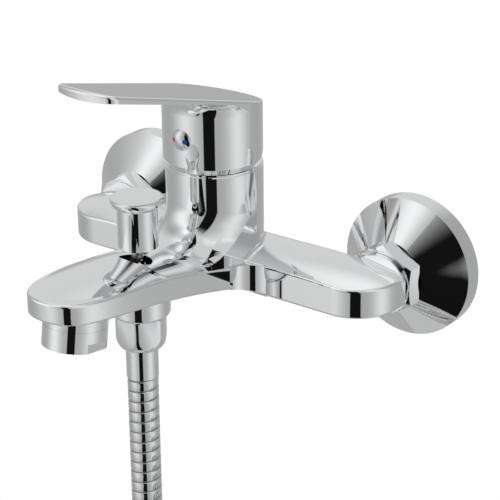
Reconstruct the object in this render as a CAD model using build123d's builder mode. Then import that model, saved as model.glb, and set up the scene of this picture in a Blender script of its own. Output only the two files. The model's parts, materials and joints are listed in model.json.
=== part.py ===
"""Wall mounted bath mixer with a single lever, a pull-up diverter and a shower hose.

Millimetres. The origin lies on the wall, midway between the two inlets.
+X is to the right, -Y is towards the bather and +Z is up.
"""
import os
from math import acos, atan2, cos, hypot, pi, radians, sin, sqrt, tan

from build123d import *

os.makedirs("parts", exist_ok=True)

# Fits
running_fit = 0.2
thread_fit = 0.15
face_fit = 0.05

# Wall inlets
inlet_spacing = 150.0
half_spacing = inlet_spacing / 2
wall_thread_r = 10.48
wall_thread_length = 15.0
inlet_thread_r = 13.05
inlet_bore_r = 6.5
coupling_front_y = -20.5
flange_r = 32.65
flange_rim = 8.7
flange_front_y = -21.0
flange_neck_r = 14.7
flange_wall = 1.3
flange_web_y = -9.0
flange_web = 2.0
washer_thickness = 2.0
nipple_flange_r = 12.2
nipple_flange = 2.0
nipple_r = 9.6
nipple_root_r = 5.6
nipple_root = 9.0
nipple_bore_r = 4.2
nut_across_flats = 30.0
nut_hex_length = 8.2
nut_shank_r = 14.3
nut_shank_back_y = -13.6
nut_edge = 1.2

# Casting: column
column_y = -53.2
column_r = 22.1
column_top = 48.6
column_edge = 0.5

# Casting: arms
arm_front_y = -60.3
arm_back_y = -32.0
arm_bottom = -7.0
arm_overhang = 14.4
arm_end_x = half_spacing + arm_overhang
arm_end_r = 20.5
arm_edge_z = 7.3
arm_crown_r = 40.0
arm_crown_slope = 27.0
arm_crown_start = 60.0
arm_crown_fall = 0.006
arm_edge = 1.3
arm_seam = 2.0
inlet_boss_r = 13.6
inlet_boss = 2.0
web_r = 11.0
web_rise = 0.06

# Casting: spout
spout_half = 21.5
spout_taper = 0.04
spout_measured_y = -107.0
spout_tip_y = -169.4
spout_tip_length = 40.0
spout_tip_fullness = 0.743
spout_edge_apex = (-165.0, 20.97)
spout_edge_r = 348.0
spout_under_apex = (-188.1, 12.84)
spout_under_r = 450.0
spout_crown = 3.4
spout_edge = 1.2
spout_crown_margin = 9.0
spout_crown_full_y = -92.3
spout_crown_front = 2.7
spout_crown_tip = 0.34
crown_overrun = 5.0
flare_r = 16.0
flare_start = 30.0
flare_depth = 24.0

# Casting: outlet and diverter
diverter_y = -107.3
outlet_boss_r = 13.3
outlet_bottom = -6.3
outlet_edge = 1.8
chamber_r = 6.8
chamber_floor = 2.0
outlet_port_r = 4.0
outlet_socket_r = 8.4

# Aerator
aerator_tilt = 8.5
aerator_r = 13.94
aerator_foot = (-151.15, -4.3)
aerator_height = 9.4
aerator_thread_r = 11.4
aerator_thread = 5.0
aerator_wall = 1.8
aerator_insert_height = 7.0
aerator_washer = 1.6
aerator_outer_ring = 6.8
aerator_outer_holes = 12
aerator_inner_ring = 3.4
aerator_inner_holes = 6
aerator_hole_r = 1.3
aerator_flat = 1.3
aerator_flat_height = 4.2

# Waterways
arm_way_r = 4.5
arm_way_z = 1.0
port_r = 3.0
port_x = 6.5
outlet_way_r = 3.6
outlet_way_z = 7.0

# Cartridge, measured up from the floor of its socket
socket_floor = 12.0
cartridge_r = 17.5
cartridge_shoulder = 40.4
cartridge_neck_r = 15.4
cartridge_neck_top = 47.0
nut_thread_r = 19.2
cartridge_nut_top = 51.0
cartridge_nut_flats = 30.0
base_seal_height = 2.0
disc_height = 4.0
fixed_disc_r = 14.9
moving_disc_r = 10.4
disc_room_r = 14.6
rotor_r = 13.1
rotor_collar_r = 14.3
rotor_collar = 3.0
rotor_base = 34.2
rotor_top = 53.0
pivot_z = 50.0
pivot_r = 1.5
ball_drop = 20.0
ball_r = 3.5
ball_neck_r = 2.3
spindle_x = 7.6
spindle_y = 7.0
spindle_top = 71.5
lift_degrees = 18.0
dome_ring_step = 0.4
dome_ring_wall = 1.8
dome_ring_height = 0.8

# Handle
handle_y = -54.1
handle_lip = 0.4
handle_bottom = 49.7
handle_wall = 2.4
handle_ceiling = 60.0
handle_relief = 20.0
handle_chamfer_height = 2.6
handle_chamfer = 1.3
lever_top_z = 81.2
lever_pitch = 15.9
lever_tip_y = -140.6
lever_tip_bulge = 2.8
lever_tip_half = 15.6
lever_tip_r = 5.0
lever_thickness = 4.4
lever_belly_r = 90.0
lever_edge = 1.2
lever_fillet = 9.0
index_r = 4.8
index_z = 65.2
index_depth = 4.0
index_dome = 1.9
mark_r = 1.05
mark_x = 3.0
mark_depth = 1.0
grub_r = 2.5
grub_length = 9.0
grub_hex = 2.5

# Diverter
knob_top = 48.7
knob_r = 11.4
knob_rim = 1.8
knob_bevel = 4.2
knob_stem_r = 8.9
knob_bottom = 26.0
knob_edge = 0.5
bush_collar_r = 8.0
bush_seat = 17.6
bush_collar_top = 25.6
knob_wall = 1.5
rod_top = 45.0
rod_r = 2.8
valve_r = 5.6
valve_height = 3.0
valve_seal = 1.2
diverter_lift = 8.0

# Hose and its fittings
outlet_thread_r = 9.9
outlet_thread = 10.6
outlet_bore_r = 6.0
outlet_root = 3.6
hose_nut_r = 11.8
hose_nut_flats = 21.8
hose_nut_bottom = -24.0
hose_nut_round = 6.5
hose_nut_floor = 4.0
hose_washer = 1.8
hose_flange_r = 9.6
hose_neck_r = 5.6
ferrule_r = 7.2
ferrule_bottom = -36.5
hose_r = 6.95
hose_root_r = 6.4
hose_bore_r = 4.2
rib_pitch = 4.75
rib_groove = 0.6
coil_centre_x = 70.4
coil_centre_z = -195.0
coil_gap = 0.6
coil_turns = 3
tie_height = 12.0
tie_wall = 1.2
end_ferrule = 13.0
end_nut_r = 12.2
end_nut_height = 26.0
end_thread = 11.0

# Worked out from the sizes above
sides = {"left": -1, "right": 1}
handle_r = column_r + handle_lip
handle_skirt_r = handle_r - handle_wall
dome_ring_r = column_r - dome_ring_step
arm_crown_y = arm_front_y + arm_crown_r * sin(radians(arm_crown_slope))
arm_crown_z = arm_edge_z - arm_crown_r * cos(radians(arm_crown_slope))
way_y = (arm_front_y + arm_back_y) / 2
fixed_disc_z = socket_floor + base_seal_height
moving_disc_z = fixed_disc_z + disc_height
carrier_z = moving_disc_z + disc_height
ball_z = pivot_z - ball_drop
disc_travel = ball_drop * sin(radians(lift_degrees))
disc_y = column_y + disc_travel / 2
bush_bottom = chamber_floor + valve_seal + valve_height + diverter_lift + running_fit
axis_up = Vector(0, sin(radians(aerator_tilt)), cos(radians(aerator_tilt)))
aerator_plane = Plane(
    origin=(0, aerator_foot[0], aerator_foot[1]), x_dir=(1, 0, 0), z_dir=axis_up
)
column_plane = Plane.XY.move(Location((0, column_y, 0)))
diverter_plane = Plane.XY.move(Location((0, diverter_y, 0)))


def save(block: BuildPart, name: str) -> None:
    """Label a finished piece and write it as its own file."""
    block.part.label = name
    export_step(block.part, f"parts/{name}.step")


def arc_height(apex: tuple, radius: float, y: float) -> float:
    """Height at y of a circular arc that peaks at apex, seen from the side."""
    return apex[1] - radius + sqrt(radius**2 - (y - apex[0]) ** 2)


def spout_width(y: float) -> float:
    """Half the width of the spout at y, along its straight sides."""
    return spout_half + spout_taper * (y - spout_measured_y)


def beside_column(point: Vector) -> bool:
    """Whether a point is on the column's wall or the flare's straight sides, over the arms."""
    from_wall = abs(hypot(point.X, point.Y - column_y) - column_r)
    from_side = abs(abs(point.X) - column_r)
    over_arms = point.Y > arm_front_y and arm_edge_z < point.Z < flare_start - flare_r
    return over_arms and min(from_wall, from_side) < face_fit


def wall_plane(x: float, y: float, z: float = 0) -> Plane:
    """Plane parallel to the wall at depth y, with its normal towards the bather."""
    return Plane(origin=(x, y, z), x_dir=(1, 0, 0), z_dir=(0, -1, 0))


# Spout: outline from above, crowned top and arched underside
side_end_y = spout_tip_y + spout_tip_length
tip_half = spout_width(side_end_y)
tip_reach = spout_tip_length * spout_tip_fullness
with BuildPart() as spout_outline:
    with BuildSketch(Plane.XY.offset(arm_bottom)):
        with BuildLine():
            side = Line((spout_width(column_y), column_y), (tip_half, side_end_y))
            Bezier(
                side @ 1,
                (tip_half - spout_taper * tip_reach, side_end_y - tip_reach),
                (tip_half * spout_tip_fullness, spout_tip_y),
                (0, spout_tip_y),
            )
            Line((0, spout_tip_y), (0, column_y))
            Line((0, column_y), side @ 0)
        make_face()
        mirror(about=Plane.YZ)
    extrude(amount=2 * column_top)

crown_margin = spout_half + spout_crown_margin
crown_drop = (crown_margin / spout_half) ** 2 - 1
crown_stations = {
    column_y + crown_overrun: spout_crown,
    spout_crown_full_y: spout_crown,
    side_end_y: spout_crown_front,
    spout_tip_y - crown_overrun: spout_crown_tip,
}
with BuildPart() as spout_crown_form:
    for station, crown in crown_stations.items():
        edge_z = arc_height(spout_edge_apex, spout_edge_r, station)
        with BuildSketch(wall_plane(0, station)):
            with BuildLine():
                low_z = edge_z - crown * crown_drop
                ThreePointArc(
                    (-crown_margin, low_z), (0, edge_z + crown), (crown_margin, low_z)
                )
                Polyline(
                    (crown_margin, low_z),
                    (crown_margin, -column_top),
                    (-crown_margin, -column_top),
                    (-crown_margin, low_z),
                )
            make_face()
    loft()

with BuildPart() as spout_form:
    add(spout_outline.part)
    add(spout_crown_form.part, mode=Mode.INTERSECT)
    with BuildSketch(Plane.YZ.offset(-crown_margin)):
        with Locations((spout_under_apex[0], spout_under_apex[1] - spout_under_r)):
            Circle(spout_under_r)
    extrude(amount=2 * crown_margin, mode=Mode.SUBTRACT)
    # Sorted, because the joint with the column depends on the order of the fillet's edges
    outline_edges = spout_form.edges().filter_by(Axis.Z, reverse=True).sort_by(Axis.X)
    fillet(outline_edges.filter_by(lambda e: e.center().Y < column_y - column_edge), spout_edge)

# Flare that carries the column down onto the spout
with BuildPart() as flare_form:
    with BuildSketch(Plane.XZ.offset(-column_y)):
        with BuildLine():
            RadiusArc(
                (column_r, flare_start), (column_r + flare_r, flare_start - flare_r), -flare_r
            )
            Polyline(
                (column_r + flare_r, flare_start - flare_r),
                (column_r + flare_r, flare_start - flare_depth),
                (0, flare_start - flare_depth),
                (0, flare_start),
                (column_r, flare_start),
            )
        make_face()
    revolve(axis=Axis((0, column_y, 0), (0, 0, 1)))
    with BuildSketch(column_plane.offset(flare_start - flare_depth)):
        Rectangle(2 * column_r, 2 * flare_r + column_r, align=(Align.CENTER, Align.MAX))
    extrude(amount=flare_depth, mode=Mode.INTERSECT)

# Arms: one bar through the column, crowned, with rounded front corners
with BuildPart() as arm_crown_form:
    front_y = arm_front_y - 3 * arm_edge
    back_y = arm_back_y + inlet_boss
    for station in (0, arm_crown_start / 2, arm_crown_start, half_spacing, arm_end_x + crown_overrun):
        fall = arm_crown_fall * max(0, station - arm_crown_start) ** 2
        crown_apex = (arm_crown_y, arm_crown_z + arm_crown_r - fall)
        front_z = arc_height(crown_apex, arm_crown_r, front_y)
        back_z = arc_height(crown_apex, arm_crown_r, back_y)
        with BuildSketch(Plane.YZ.offset(station)):
            with BuildLine():
                ThreePointArc((front_y, front_z), crown_apex, (back_y, back_z))
                Polyline(
                    (back_y, back_z),
                    (back_y, -column_top),
                    (front_y, -column_top),
                    (front_y, front_z),
                )
            make_face()
    loft()
    mirror(about=Plane.YZ)

with BuildPart() as arm_form:
    with BuildSketch(Plane.XY.offset(arm_bottom)):
        with BuildLine():
            Polyline(
                (0, arm_back_y),
                (arm_end_x, arm_back_y),
                (arm_end_x, arm_front_y),
                (0, arm_front_y),
                (0, arm_back_y),
            )
        make_face()
        fillet(vertices().sort_by(SortBy.DISTANCE)[-1], arm_end_r)
        mirror(about=Plane.YZ)
    extrude(amount=column_top)
    add(arm_crown_form.part, mode=Mode.INTERSECT)
    fillet(arm_form.edges().filter_by(Axis.Z, reverse=True).sort_by(Axis.Y), arm_edge)


# Webs that round the corners between the spout and the arms
web_end_y = arm_front_y - web_r
web_centre_x = spout_width(web_end_y) + web_r
with BuildPart() as web_form:
    with BuildSketch(Plane.XY.offset(arm_bottom)):
        with BuildLine():
            corner = CenterArc((web_centre_x, web_end_y), web_r, 90, 90)
            Polyline(
                corner @ 1,
                (web_centre_x - 2 * web_r, web_end_y),
                (web_centre_x - 2 * web_r, arm_front_y + web_r),
                (web_centre_x, arm_front_y + web_r),
                corner @ 0,
            )
        make_face()
        mirror(about=Plane.YZ)
    extrude(amount=column_top)
    split(
        bisect_by=Plane(origin=(0, arm_front_y, arm_edge_z), z_dir=(0, web_rise, 1)),
        keep=Keep.BOTTOM,
    )

# Room under the arch, which the column and the webs keep clear of in front of the arms
with BuildPart() as under_arch:
    with BuildSketch(Plane.YZ.offset(-arm_end_x)):
        with BuildLine():
            arch_start = (spout_tip_y, arc_height(spout_under_apex, spout_under_r, spout_tip_y))
            arch_end = (arm_front_y, arc_height(spout_under_apex, spout_under_r, arm_front_y))
            RadiusArc(arch_start, arch_end, spout_under_r)
            Polyline(
                arch_end,
                (arm_front_y, -column_top),
                (spout_tip_y, -column_top),
                arch_start,
            )
        make_face()
    extrude(amount=2 * arm_end_x)

# Boss under the spout for the shower outlet
with BuildPart() as outlet_form:
    with BuildSketch(diverter_plane.offset(outlet_bottom)):
        Circle(outlet_boss_r)
    extrude(amount=bush_bottom - outlet_bottom)
    fillet(outlet_form.edges().sort_by(Axis.Z)[0], outlet_edge)

# Casting: column, spout, arms, bosses, socket and waterways
way_offset = way_y - column_y
outlet_top = (0, column_y - way_offset, outlet_way_z)
nozzle_point = aerator_plane.from_local_coords((0, 0, aerator_height + 2 * aerator_thread))
spout_way = Line(outlet_top, (0, nozzle_point.Y, nozzle_point.Z + outlet_way_r))
with BuildPart() as faucet_body:
    with BuildSketch(column_plane.offset(arm_bottom)):
        Circle(column_r)
    extrude(amount=column_top - arm_bottom)
    chamfer(faucet_body.edges().sort_by(Axis.Z)[-1], column_edge)
    add(web_form.part)
    add(under_arch.part, mode=Mode.SUBTRACT)
    add(spout_form.part)
    add(flare_form.part)
    add(arm_form.part)
    seams = faucet_body.edges().filter_by(lambda e: beside_column(e @ 0.5))
    fillet(seams.filter_by(lambda e: e.length > 2 * arm_seam), arm_seam)
    add(outlet_form.part)
    with BuildSketch(aerator_plane.offset(aerator_height + face_fit)):
        Circle(aerator_r)
    extrude(amount=2 * aerator_thread)
    for side in sides.values():
        with BuildSketch(wall_plane(side * half_spacing, arm_back_y + inlet_boss)):
            Circle(inlet_boss_r)
        extrude(amount=inlet_boss)
    with BuildSketch(column_plane.offset(socket_floor)):
        Circle(cartridge_r + running_fit)
    extrude(amount=column_top, mode=Mode.SUBTRACT)
    with BuildSketch(column_plane.offset(cartridge_shoulder)):
        Circle(nut_thread_r + thread_fit)
    extrude(amount=column_top, mode=Mode.SUBTRACT)
    with BuildSketch(column_plane.offset(arm_way_z)):
        with Locations((port_x, way_offset), (-port_x, way_offset)):
            Circle(port_r)
    extrude(amount=socket_floor, mode=Mode.SUBTRACT)
    with BuildSketch(column_plane.offset(outlet_way_z)):
        with Locations((0, -way_offset)):
            Circle(outlet_way_r)
    extrude(amount=socket_floor, mode=Mode.SUBTRACT)
    for side in sides.values():
        with BuildSketch(wall_plane(side * half_spacing, arm_back_y + inlet_boss)):
            Circle(nipple_root_r + thread_fit)
        extrude(amount=nipple_root + inlet_boss, mode=Mode.SUBTRACT)
        with BuildSketch(wall_plane(side * half_spacing, arm_back_y)):
            Circle(nipple_bore_r)
        extrude(amount=arm_back_y - way_y, mode=Mode.SUBTRACT)
        with BuildSketch(Plane.YZ.offset(side * port_x)):
            with Locations((way_y, arm_way_z)):
                Circle(arm_way_r)
        extrude(amount=side * half_spacing, mode=Mode.SUBTRACT)
    with BuildSketch(Plane(origin=spout_way @ 0, x_dir=(1, 0, 0), z_dir=spout_way % 0)):
        Circle(outlet_way_r)
    extrude(amount=spout_way.length, mode=Mode.SUBTRACT)
    with BuildSketch(aerator_plane.offset(aerator_height)):
        Circle(aerator_thread_r + thread_fit)
    extrude(amount=aerator_thread + aerator_washer, mode=Mode.SUBTRACT)
    with BuildSketch(aerator_plane.offset(aerator_height)):
        Circle(2 * outlet_way_r)
    extrude(amount=2 * aerator_thread, mode=Mode.SUBTRACT)
    with BuildSketch(diverter_plane.offset(bush_seat)):
        Circle(bush_collar_r + running_fit)
    extrude(amount=column_top, mode=Mode.SUBTRACT)
    with BuildSketch(diverter_plane.offset(chamber_floor)):
        Circle(chamber_r)
    extrude(amount=bush_seat, mode=Mode.SUBTRACT)
    with BuildSketch(diverter_plane.offset(outlet_bottom)):
        Circle(outlet_port_r)
    extrude(amount=chamber_floor - outlet_bottom, mode=Mode.SUBTRACT)
    with BuildSketch(diverter_plane.offset(outlet_bottom)):
        Circle(outlet_socket_r + thread_fit)
    extrude(amount=outlet_root, mode=Mode.SUBTRACT)
save(faucet_body, "faucet_body")

# Wall inlets: coupling, cover flange, nut, washer and nipple on each side
nipple_flange_y = coupling_front_y - washer_thickness
nut_front_y = arm_back_y + inlet_boss + running_fit
nut_bore_r = inlet_thread_r + thread_fit
cover_slope = (flange_r - flange_neck_r - flange_wall) / (-flange_front_y - flange_rim)
cover_r = flange_r + cover_slope * (flange_web_y - flange_web + flange_rim)
for side_name, side in sides.items():
    inlet_x = side * half_spacing
    inlet_axis = Axis((inlet_x, 0, 0), (0, 1, 0))
    inlet_section = Plane(origin=(inlet_x, 0, 0), x_dir=(1, 0, 0), z_dir=(0, 0, 1))

    with BuildPart() as inlet_coupling:
        with BuildSketch(inlet_section):
            with BuildLine():
                Polyline(
                    (inlet_bore_r, wall_thread_length),
                    (wall_thread_r, wall_thread_length),
                    (wall_thread_r, 0),
                    (inlet_thread_r, 0),
                    (inlet_thread_r, coupling_front_y),
                    (inlet_bore_r, coupling_front_y),
                    close=True,
                )
            make_face()
        revolve(axis=inlet_axis)
    save(inlet_coupling, f"inlet_coupling_{side_name}")

    with BuildPart() as wall_flange:
        with BuildSketch(inlet_section):
            with BuildLine():
                Polyline(
                    (flange_r - flange_wall, -face_fit),
                    (flange_r, -face_fit),
                    (flange_r, -flange_rim),
                    (flange_neck_r + flange_wall, flange_front_y),
                    (flange_neck_r, flange_front_y),
                    (cover_r - flange_wall, flange_web_y - flange_web),
                    (inlet_thread_r + thread_fit, flange_web_y - flange_web),
                    (inlet_thread_r + thread_fit, flange_web_y),
                    (flange_r - flange_wall, flange_web_y),
                    close=True,
                )
            make_face()
        revolve(axis=inlet_axis)
    save(wall_flange, f"wall_flange_{side_name}")

    with BuildPart() as inlet_washer:
        with BuildSketch(wall_plane(inlet_x, coupling_front_y - face_fit)):
            Circle(nipple_flange_r)
            Circle(inlet_bore_r, mode=Mode.SUBTRACT)
        extrude(amount=washer_thickness - 2 * face_fit)
    save(inlet_washer, f"inlet_washer_{side_name}")

    with BuildPart() as inlet_nipple:
        with BuildSketch(inlet_section):
            with BuildLine():
                Polyline(
                    (nipple_bore_r, nipple_flange_y),
                    (nipple_flange_r, nipple_flange_y),
                    (nipple_flange_r, nipple_flange_y - nipple_flange),
                    (nipple_r, nipple_flange_y - nipple_flange),
                    (nipple_r, arm_back_y + inlet_boss + face_fit),
                    (nipple_root_r, arm_back_y + inlet_boss + face_fit),
                    (nipple_root_r, arm_back_y - nipple_root + running_fit),
                    (nipple_bore_r, arm_back_y - nipple_root + running_fit),
                    close=True,
                )
            make_face()
        revolve(axis=inlet_axis)
    save(inlet_nipple, f"inlet_nipple_{side_name}")

    with BuildPart() as union_nut:
        with BuildSketch(wall_plane(inlet_x, nut_front_y + nut_hex_length)):
            RegularPolygon(nut_across_flats / 2, 6, major_radius=False, rotation=90)
        extrude(amount=nut_hex_length)
        with BuildSketch(inlet_section):
            with BuildLine():
                corner_r = nut_across_flats / 2 / cos(pi / 6)
                Polyline(
                    (0, nut_front_y),
                    (corner_r - 2 * nut_edge, nut_front_y),
                    (corner_r, nut_front_y + nut_edge),
                    (corner_r, nut_front_y + nut_hex_length),
                    (0, nut_front_y + nut_hex_length),
                    close=True,
                )
            make_face()
        revolve(axis=inlet_axis, mode=Mode.INTERSECT)
        with BuildSketch(wall_plane(inlet_x, nut_shank_back_y)):
            Circle(nut_shank_r)
        extrude(amount=nut_shank_back_y - nut_front_y - nut_hex_length)
        with BuildSketch(wall_plane(inlet_x, nut_shank_back_y)):
            Circle(nut_bore_r)
        extrude(
            amount=nut_shank_back_y - nipple_flange_y + nipple_flange + running_fit,
            mode=Mode.SUBTRACT,
        )
        with BuildSketch(wall_plane(inlet_x, nut_shank_back_y)):
            Circle(nipple_r + running_fit)
        extrude(amount=nut_shank_back_y - nut_front_y, mode=Mode.SUBTRACT)
    save(union_nut, f"union_nut_{side_name}")

# Cartridge: seal, discs, housing and the nut that clamps it
port_places = ((port_x, way_offset), (-port_x, way_offset))
with BuildPart() as base_seal:
    with BuildSketch(column_plane.offset(socket_floor + face_fit)):
        Circle(fixed_disc_r)
        with Locations(*port_places, (0, -way_offset)):
            Circle(outlet_way_r, mode=Mode.SUBTRACT)
    extrude(amount=base_seal_height - 2 * face_fit)
save(base_seal, "base_seal")

with BuildPart() as fixed_disc:
    with BuildSketch(column_plane.offset(fixed_disc_z)):
        Circle(fixed_disc_r)
        with Locations(*port_places):
            Circle(port_r, mode=Mode.SUBTRACT)
        with Locations((0, -way_offset)):
            Circle(outlet_way_r, mode=Mode.SUBTRACT)
    extrude(amount=disc_height - face_fit)
save(fixed_disc, "fixed_disc")

collar_top = rotor_base + rotor_collar
with BuildPart() as cartridge_housing:
    with BuildSketch(Plane.XZ.offset(-column_y)):
        with BuildLine():
            Polyline(
                (fixed_disc_r + running_fit, socket_floor + face_fit),
                (cartridge_r, socket_floor + face_fit),
                (cartridge_r, cartridge_shoulder),
                (cartridge_neck_r, cartridge_shoulder),
                (cartridge_neck_r, cartridge_neck_top),
                (rotor_r + running_fit, cartridge_neck_top),
                (rotor_r + running_fit, collar_top + running_fit),
                (disc_room_r, collar_top + running_fit),
                (disc_room_r, moving_disc_z),
                (fixed_disc_r + running_fit, moving_disc_z),
                close=True,
            )
        make_face()
    revolve(axis=Axis((0, column_y, 0), (0, 0, 1)))
save(cartridge_housing, "cartridge_housing")

nut_seat = cartridge_shoulder + face_fit
with BuildPart() as cartridge_nut:
    with BuildSketch(column_plane.offset(nut_seat)):
        Circle(nut_thread_r)
    extrude(amount=column_top - nut_seat)
    with BuildSketch(column_plane.offset(column_top)):
        RegularPolygon(cartridge_nut_flats / 2, 6, major_radius=False)
    extrude(amount=cartridge_nut_top - column_top)
    with BuildSketch(column_plane.offset(nut_seat)):
        Circle(cartridge_neck_r + running_fit)
    extrude(amount=cartridge_neck_top + running_fit - nut_seat, mode=Mode.SUBTRACT)
    with BuildSketch(column_plane.offset(nut_seat)):
        Circle(rotor_r + running_fit)
    extrude(amount=cartridge_nut_top - nut_seat, mode=Mode.SUBTRACT)
save(cartridge_nut, "cartridge_nut")

with BuildPart() as dome_ring:
    with BuildSketch(column_plane.offset(column_top)):
        Circle(dome_ring_r)
        Circle(dome_ring_r - dome_ring_wall, mode=Mode.SUBTRACT)
    extrude(amount=dome_ring_height)
save(dome_ring, "dome_ring")

# Cartridge: what turns and slides with the lever
slot_half = moving_disc_r - running_fit
with BuildPart() as cartridge_rotor:
    with BuildSketch(column_plane.offset(rotor_base)):
        Circle(rotor_collar_r)
    extrude(amount=rotor_collar)
    with BuildSketch(column_plane.offset(rotor_base)):
        Circle(rotor_r)
    extrude(amount=rotor_top - rotor_base)
    with BuildSketch(column_plane.offset(rotor_base)):
        Rectangle(spindle_x + 2 * running_fit, 2 * slot_half)
    extrude(amount=rotor_top - rotor_base, mode=Mode.SUBTRACT)
    with BuildSketch(Plane.YZ.offset(-rotor_collar_r)):
        with Locations((column_y, pivot_z)):
            Circle(pivot_r + face_fit)
    extrude(amount=2 * rotor_collar_r, mode=Mode.SUBTRACT)
save(cartridge_rotor, "cartridge_rotor")

with BuildPart() as pivot_pin:
    with BuildSketch(Plane.YZ.offset(-rotor_r + running_fit)):
        with Locations((column_y, pivot_z)):
            Circle(pivot_r)
    extrude(amount=2 * (rotor_r - running_fit))
save(pivot_pin, "pivot_pin")

neck_top = ball_z + 2 * ball_r
with BuildPart() as spindle:
    with BuildSketch(column_plane.offset(neck_top)):
        Rectangle(spindle_x, spindle_y)
    extrude(amount=spindle_top - neck_top)
    with BuildSketch(column_plane.offset(ball_z)):
        Circle(ball_neck_r)
    extrude(amount=neck_top - ball_z)
    with Locations((0, column_y, ball_z)):
        Sphere(ball_r)
    with BuildSketch(Plane.YZ.offset(-spindle_x)):
        with Locations((column_y, pivot_z)):
            Circle(pivot_r + face_fit)
    extrude(amount=2 * spindle_x, mode=Mode.SUBTRACT)
save(spindle, "spindle")

disc_plane = Plane.XY.move(Location((0, disc_y, 0)))
mixing_depth = disc_height / 2
with BuildPart() as moving_disc:
    with BuildSketch(disc_plane.offset(moving_disc_z)):
        Circle(moving_disc_r)
    extrude(amount=disc_height - face_fit)
    with BuildSketch(disc_plane.offset(moving_disc_z)):
        SlotOverall(2 * moving_disc_r - 2 * port_r, 2 * port_r)
    extrude(amount=mixing_depth, mode=Mode.SUBTRACT)
save(moving_disc, "moving_disc")

carrier_top = rotor_base - 2 * running_fit
with BuildPart() as disc_carrier:
    with BuildSketch(disc_plane.offset(carrier_z)):
        Circle(moving_disc_r)
    extrude(amount=carrier_top - carrier_z)
    with BuildSketch(column_plane.offset(ball_z - ball_r - 2 * running_fit)):
        Circle(ball_r + 2 * running_fit)
    extrude(amount=carrier_top, mode=Mode.SUBTRACT)
save(disc_carrier, "disc_carrier")

# Handle: teardrop outline under one sloping top
handle_axis = Axis((0, handle_y, 0), (0, 0, 1))
handle_plane = Plane.XY.move(Location((0, handle_y, 0)))
lever_length = handle_y - lever_tip_y
lever_plane = Plane(
    origin=(0, handle_y, lever_top_z),
    x_dir=(1, 0, 0),
    z_dir=(0, -cos(radians(lever_pitch)), sin(radians(lever_pitch))),
)
tip_drop = lever_length - lever_tip_bulge
flank_turn = acos(handle_r / hypot(lever_tip_half, tip_drop)) - atan2(tip_drop, lever_tip_half)
flank_start = (handle_r * cos(flank_turn), handle_y + handle_r * sin(flank_turn))
flank_end = (lever_tip_half, handle_y - tip_drop)
with BuildPart() as handle_form:
    with BuildSketch(Plane.XY.offset(handle_bottom)):
        with BuildLine():
            Line(flank_start, flank_end)
            ThreePointArc(flank_end, (0, lever_tip_y), (-flank_end[0], flank_end[1]))
            Line((-flank_end[0], flank_end[1]), (-flank_start[0], flank_start[1]))
            ThreePointArc(
                (-flank_start[0], flank_start[1]), (0, handle_y + handle_r), flank_start
            )
        make_face()
        fillet(vertices().group_by(Axis.Y)[0], lever_tip_r)
    extrude(amount=lever_length)
    split(bisect_by=Plane(lever_plane.origin, x_dir=(1, 0, 0), z_dir=lever_plane.y_dir), keep=Keep.BOTTOM)
    fillet(handle_form.faces().sort_by(Axis.Z)[-1].edges(), lever_edge)

gusset_r = handle_r + lever_fillet
gusset_top = lever_top_z + gusset_r * tan(radians(lever_pitch)) - lever_thickness
with BuildPart() as handle_core:
    with BuildSketch(Plane.XZ.offset(-handle_y)):
        with BuildLine():
            RadiusArc((handle_r, gusset_top - lever_fillet), (gusset_r, gusset_top), lever_fillet)
            Polyline(
                (gusset_r, gusset_top),
                (gusset_r, lever_top_z + lever_length),
                (0, lever_top_z + lever_length),
                (0, handle_bottom),
                (handle_r - handle_chamfer, handle_bottom),
                (handle_r, handle_bottom + handle_chamfer_height),
                (handle_r, gusset_top - lever_fillet),
            )
        make_face()
    revolve(axis=handle_axis)

belly_edge = lever_belly_r - sqrt(lever_belly_r**2 - gusset_r**2) - lever_thickness
with BuildPart() as lever_room:
    with BuildSketch(lever_plane.offset(-2 * handle_r)):
        with BuildLine():
            ThreePointArc((-gusset_r, belly_edge), (0, -lever_thickness), (gusset_r, belly_edge))
            Polyline(
                (gusset_r, belly_edge),
                (gusset_r, -lever_length),
                (-gusset_r, -lever_length),
                (-gusset_r, belly_edge),
            )
        make_face()
    extrude(amount=lever_length + 3 * handle_r)
    add(handle_core.part, mode=Mode.SUBTRACT)

index_plane = wall_plane(0, handle_y - handle_r, index_z)
socket_top = spindle_top + running_fit
with BuildPart() as handle:
    add(handle_form.part)
    add(lever_room.part, mode=Mode.SUBTRACT)
    with BuildSketch(Plane.YZ.offset(-2 * handle_r)):
        with BuildLine():
            rear_y = handle_y + 2 * handle_r
            rear_z = handle_bottom + 2 * handle_r * tan(radians(handle_relief))
            Polyline(
                (handle_y, handle_bottom), (rear_y, handle_bottom), (rear_y, rear_z), close=True
            )
        make_face()
    extrude(amount=4 * handle_r, mode=Mode.SUBTRACT)
    with BuildSketch(handle_plane):
        Circle(handle_skirt_r)
    extrude(amount=handle_ceiling, mode=Mode.SUBTRACT)
    with BuildSketch(column_plane):
        Rectangle(spindle_x + 2 * face_fit, spindle_y + 2 * face_fit)
    extrude(amount=socket_top, mode=Mode.SUBTRACT)
    with BuildSketch(index_plane.offset(-index_depth)):
        Circle(index_r + face_fit)
    extrude(amount=2 * index_depth, mode=Mode.SUBTRACT)
    with BuildSketch(index_plane.offset(-index_depth)):
        Circle(grub_r + face_fit)
    extrude(amount=handle_y - handle_r + index_depth - column_y, mode=Mode.SUBTRACT)
save(handle, "handle")

grub_y = column_y - spindle_y / 2 - face_fit
with BuildPart() as grub_screw:
    with BuildSketch(wall_plane(0, grub_y, index_z)):
        Circle(grub_r)
    extrude(amount=grub_length)
    with BuildSketch(wall_plane(0, grub_y - grub_length / 2, index_z)):
        RegularPolygon(grub_hex / 2, 6, major_radius=False)
    extrude(amount=grub_length, mode=Mode.SUBTRACT)
save(grub_screw, "grub_screw")

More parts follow.
